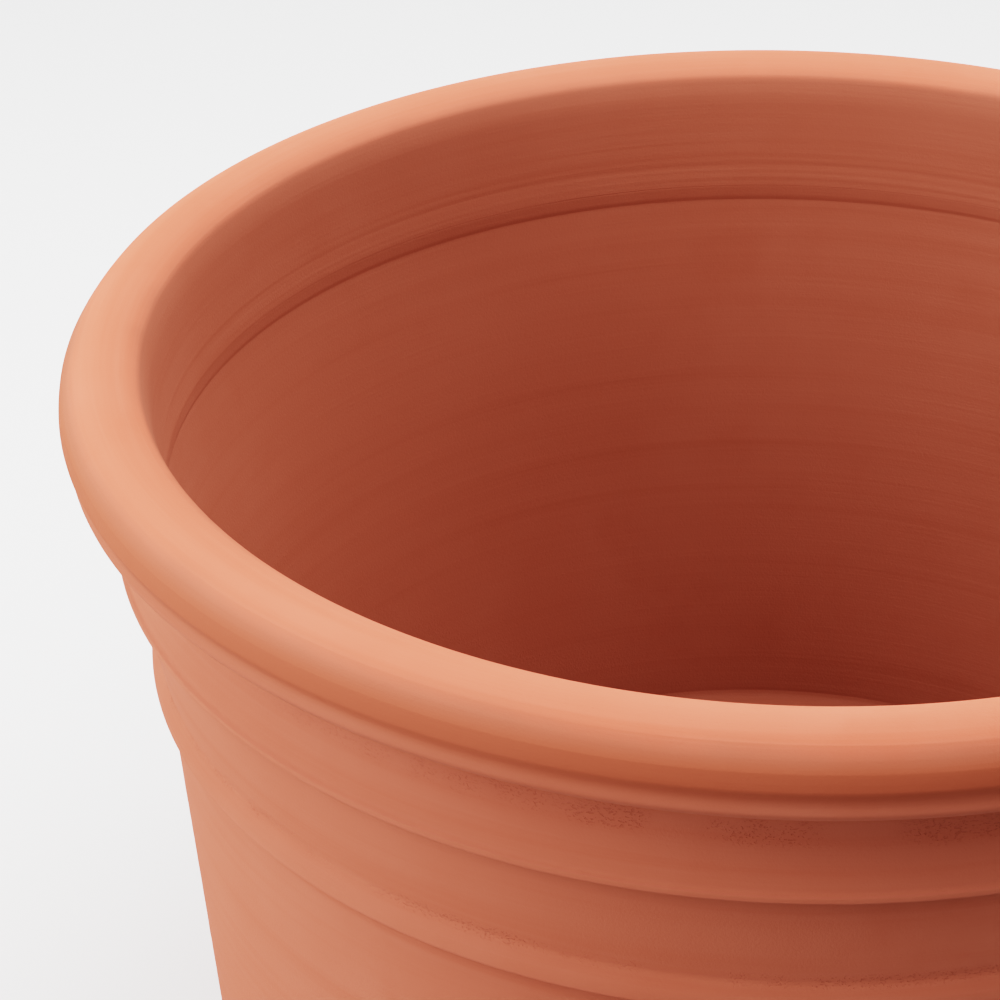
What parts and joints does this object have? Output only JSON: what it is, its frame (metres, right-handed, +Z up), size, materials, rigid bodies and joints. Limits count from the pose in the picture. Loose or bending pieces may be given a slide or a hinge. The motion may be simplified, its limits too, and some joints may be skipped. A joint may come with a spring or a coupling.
{
  "type": "terracotta pot",
  "caption": "Wide, low round clay planter with a rolled rim over a hollow collar, a coved band with a bead, a tapered body and a drain hole in the base.",
  "frame": {"origin": "centre of the resting face of the foot", "axes": "+Z up along the pot's axis of revolution; +X and +Y are any two directions across it"},
  "size_m": [0.38, 0.38, 0.2291],
  "materials": {
    "terracotta": "matt, unglazed fired clay"
  },
  "bodies": {
    "root": {"rim_roll": "terracotta", "rim_collar": "terracotta", "lower_band": "terracotta", "pot_wall": "terracotta", "pot_floor": "terracotta", "foot_ring": "terracotta"}
  },
  "joints": []
}
